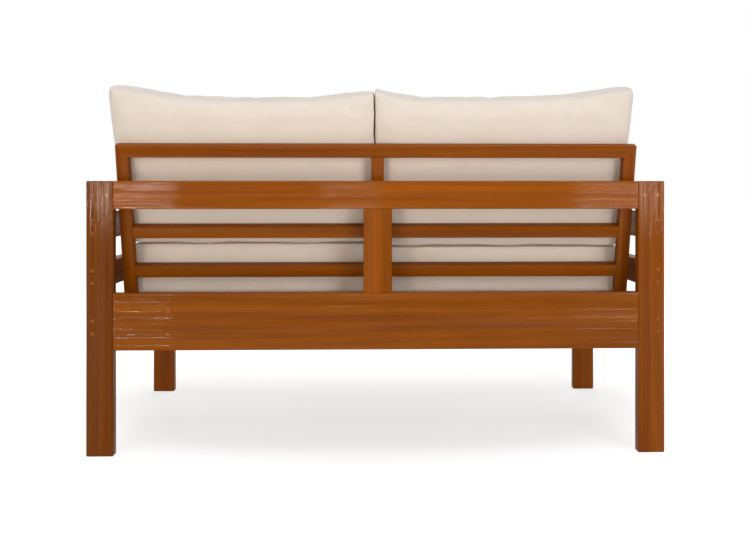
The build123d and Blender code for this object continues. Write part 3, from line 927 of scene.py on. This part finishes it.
# Seams: the groove, the puckers across it, the slow unevenness of the fabric, and the ridge. A
# shift in the noise makes the two sides differ.
SEAM_REACH = 0.05
GROOVE_DEPTH, GROOVE_WIDTH = 0.0007, 0.0026
PUCKER_DEPTH, PUCKER_WIDTH, PUCKER_SCALE = 0.0006, 0.018, 95.0
PUCKER_SHIFT, PUCKER_START = 7.0, 3.0
UNEVEN_DEPTH, UNEVEN_SCALE, UNEVEN_SHIFT = 0.0010, 9.0, 5.0
RIDGE_SIDES = 6
RIDGE_HALF_WIDTH, RIDGE_HALF_HEIGHT = 0.0009, 0.0006


def groove(cushion, obj, tree):
    """Press the seams in, pull small puckers across them and settle the cushion again."""
    mesh = obj.data
    points = read_points(mesh)
    normals = np.zeros(len(mesh.vertices) * 3)
    mesh.vertices.foreach_get("normal", normals)
    pucker_shift = Vector((cushion.side * PUCKER_SHIFT, PUCKER_START, 0.0))
    uneven_shift = Vector((0.0, 0.0, cushion.side * UNEVEN_SHIFT))
    depth = np.zeros(len(points))
    for index, point in enumerate(points):
        place, _, distance = tree.find(Vector(point))
        if distance < SEAM_REACH:
            pucker = noise.noise(place * PUCKER_SCALE + pucker_shift)
            depth[index] += GROOVE_DEPTH * math.exp(-((distance / GROOVE_WIDTH) ** 2))
            depth[index] += PUCKER_DEPTH * pucker * math.exp(-((distance / PUCKER_WIDTH) ** 2))
        uneven = noise.noise(Vector(point) * UNEVEN_SCALE + uneven_shift)
        depth[index] -= UNEVEN_DEPTH * uneven
    points -= normals.reshape(-1, 3) * depth[:, None]
    write_points(mesh, settle(cushion, points))


def seam_ring(mesh, place, normal, ahead):
    """Vertices round the seam's ridge at one place."""
    side = ahead.cross(normal).normalized()
    up = side.cross(ahead)
    ring = []
    for turn in range(RIDGE_SIDES):
        angle = 2 * math.pi * turn / RIDGE_SIDES
        beside = side * math.cos(angle) * RIDGE_HALF_WIDTH
        above = up * math.sin(angle) * RIDGE_HALF_HEIGHT
        ring.append(mesh.verts.new(place + (beside + above)))
    return ring


def seam_piece(cushion, paths, surface):
    """Thin stitched ridge along both seams of a cushion."""
    mesh = bmesh.new()
    for path in paths:
        places = [surface.find_nearest(point)[:2] for point in path]
        count = len(places)
        rings = []
        for index, (place, normal) in enumerate(places):
            ahead = places[(index + 1) % count][0] - places[index - 1][0]
            ahead.normalize()
            rings.append(seam_ring(mesh, place, normal, ahead))
        for index, ring in enumerate(rings):
            following = rings[(index + 1) % count]
            for turn in range(RIDGE_SIDES):
                after = (turn + 1) % RIDGE_SIDES
                mesh.faces.new((ring[turn], ring[after], following[after], following[turn]))
    bmesh.ops.recalc_face_normals(mesh, faces=mesh.faces)
    for face in mesh.faces:
        face.smooth = True
    return mesh_object(cushion.name + "_seams", mesh)


def subdivide(obj):
    """One applied subdivision, shaded smooth."""
    obj.modifiers.new("finer", "SUBSURF").levels = 1
    settled = obj.evaluated_get(bpy.context.evaluated_depsgraph_get())
    data = bpy.data.meshes.new_from_object(settled)
    obj.modifiers.clear()
    obj.data = data
    data.shade_smooth()


def build_cushions():
    """Form, swell and settle every cushion, then let it stand for its CAD cover and foam."""
    cushions = make_cushions()
    objects = [cushion.cage() for cushion in cushions]
    paths = [cushion.seam_paths() for cushion in cushions]
    trees = [seam_tree(path) for path in paths]
    formed = swell(objects, trees)
    for cushion, obj, path, tree, points in zip(cushions, objects, paths, trees, formed):
        write_points(obj.data, settle(cushion, points))
        subdivide(obj)
        groove(cushion, obj, tree)
        kind, _, side = cushion.name.split("_")
        dress(obj, fabric[kind])
        surface = BVHTree.FromObject(obj, bpy.context.evaluated_depsgraph_get())
        seams = seam_piece(cushion, path, surface)
        dress(seams, thread)
        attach(obj, cushion.body)
        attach(seams, cushion.body)
        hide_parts(f"{kind}_cushion_cover_{side}", f"{kind}_cushion_foam_{side}")


build_cushions()


# Floor, light and camera
FLOOR_SIZE = 30.0
FLOOR_BOUNCE = (0.83, 0.81, 0.785, 1.0)
FLOOR_SEEN = grey(0.45)

# The floor's own light as the camera sees it: weaker round the loveseat, which paints a shade
# there beside its real shadow
SHADE_CENTRE = (0.0, 0.35, 0.0)
SHADE_RANGE = {"From Min": 0.70, "From Max": 1.40, "To Min": 0.64, "To Max": 1.0}

# Light of the room from the floor up
ROOM_STOPS = [
    (0.0, linear(98, 92, 82)),
    (0.30, linear(138, 131, 120)),
    (0.75, linear(249, 247, 243)),
]
ROOM_STRENGTH = 0.46


def seen_directly(tree):
    """1 for rays that the eye follows: camera, glossy and transmission rays."""
    rays = add_node(tree, "ShaderNodeLightPath")
    seen = math_node(tree, "MAXIMUM", rays.outputs["Is Camera Ray"], rays.outputs["Is Glossy Ray"])
    return math_node(tree, "MAXIMUM", seen, rays.outputs["Is Transmission Ray"])


def floor_material():
    """Pale floor that the camera sees as white away from the loveseat, with a painted shade round
    it.
    """
    material, tree, shader = new_material("floor")
    place = vector_node(tree, "ADD", object_place(tree), SHADE_CENTRE)
    away = add_node(tree, "ShaderNodeVectorMath", {0: place}, operation="LENGTH").outputs["Value"]
    level = add_node(tree, "ShaderNodeMapRange", {"Value": away, **SHADE_RANGE}).outputs[0]
    look = {
        "Base Color": mix_colour(tree, seen_directly(tree), FLOOR_BOUNCE, FLOOR_SEEN),
        "Roughness": 0.9,
        "Specular IOR Level": 0.0,
        "Emission Color": grey(1.0),
        # Weaker glow near the loveseat: a painted shade on the floor
        "Emission Strength": math_node(tree, "MULTIPLY", seen_directly(tree), level),
    }
    feed(tree, shader, look)
    return material


def make_floor():
    """Large flat floor under the loveseat."""
    signs = ((-1, -1), (1, -1), (1, 1), (-1, 1))
    corners = [(x * FLOOR_SIZE, y * FLOOR_SIZE, 0.0) for x, y in signs]
    data = bpy.data.meshes.new("floor")
    data.from_pydata(corners, [], [(0, 1, 2, 3)])
    obj = add_object("floor", data)
    dress(obj, floor_material())


def make_world():
    """Soft white room, brighter above, which the camera sees as white."""
    world = bpy.data.worlds.new("studio")
    bpy.context.scene.world = world
    world.use_nodes = True
    tree = world.node_tree
    tree.nodes.clear()
    output = tree.nodes.new("ShaderNodeOutputWorld")
    place = add_node(tree, "ShaderNodeTexCoord").outputs["Generated"]
    room = ramp(tree, separated(tree, place)["Z"], ROOM_STOPS)
    soft = add_node(tree, "ShaderNodeBackground", {"Color": room, "Strength": ROOM_STRENGTH})
    white = add_node(tree, "ShaderNodeBackground", {"Color": grey(1.0), "Strength": 1.0})
    parts = {0: seen_directly(tree), 1: soft.outputs[0], 2: white.outputs[0]}
    mixed = add_node(tree, "ShaderNodeMixShader", parts)
    tree.links.new(mixed.outputs[0], output.inputs[0])


# Lamps: their colours, and the face and the height of the rear upper rail
WHITE = (1.0, 1.0, 1.0)
COOL = (0.94, 1.0, 1.10)
TAN = (1.0, 0.88, 0.74)
BACK_Y = 0.375
RAIL_HEIGHT = 0.59


def make_lamp(name, place, target, size, power, colour=WHITE):
    """Rectangular soft light aimed at a point."""
    data = bpy.data.lights.new(name, "AREA")
    data.shape = "RECTANGLE"
    data.size, data.size_y = size
    data.energy = power
    data.color = colour
    obj = add_object(name, data)
    obj.location = place
    aim = Vector(target) - Vector(place)
    obj.rotation_euler = aim.to_track_quat("-Z", "Y").to_euler()


def make_glint(name, place, target_x, size, power):
    """Small warm lamp whose reflection glares on one stretch of the rear upper rail."""
    make_lamp(name, place, (target_x, BACK_Y, RAIL_HEIGHT), size, power, TAN)


def make_lamps():
    """Two softboxes behind the loveseat, lamps above, in front and beside it, and small glints.

    The softboxes and the glints have their left and right in the photo's view from behind.
    """
    back = (0.0, BACK_Y, 0.5)
    make_lamp("softbox_right", (-1.75, 3.375, 1.20), back, (1.35, 1.45), 32.0)
    make_lamp("softbox_left", (1.95, 3.0, 1.10), back, (1.0, 1.0), 9.5)
    make_lamp("top", (0.0, 0.9, 3.0), (0.0, 0.1, 0.4), (3.0, 2.4), 32.0, COOL)
    make_lamp("front", (0.0, -3.0, 1.6), (0.0, -0.2, 0.4), (2.6, 1.8), 40.0)
    for side in (-1, 1):
        place, target = (3.2 * side, -0.6, 1.2), (0.6 * side, 0.0, 0.4)
        make_lamp(f"side_{side}", place, target, (1.6, 1.4), 17.0)
    make_glint("glint_left", (1.20, 3.375, 0.565), 0.5, (0.34, 0.17), 17.0)
    make_glint("glint_right", (-1.31, 3.375, 0.565), -0.55, (0.48, 0.17), 8.0)
    make_glint("glint_middle", (0.10, 2.74, 0.60), 0.06, (0.26, 0.05), 3.2)


def make_camera():
    """Camera of the photograph, behind the loveseat at the height of its arms."""
    data = bpy.data.cameras.new("camera")
    data.sensor_width = 36.0
    data.lens = 48.816
    data.shift_x = -0.02903
    data.shift_y = -0.11316
    obj = add_object("camera", data)
    obj.location = (0.0261, 2.6613, 0.6045)
    obj.rotation_euler = (math.pi / 2, 0.0, math.pi - math.radians(1.727))
    bpy.context.scene.camera = obj


make_floor()
make_world()
make_lamps()
make_camera()
bpy.context.scene.view_settings.view_transform = "Standard"
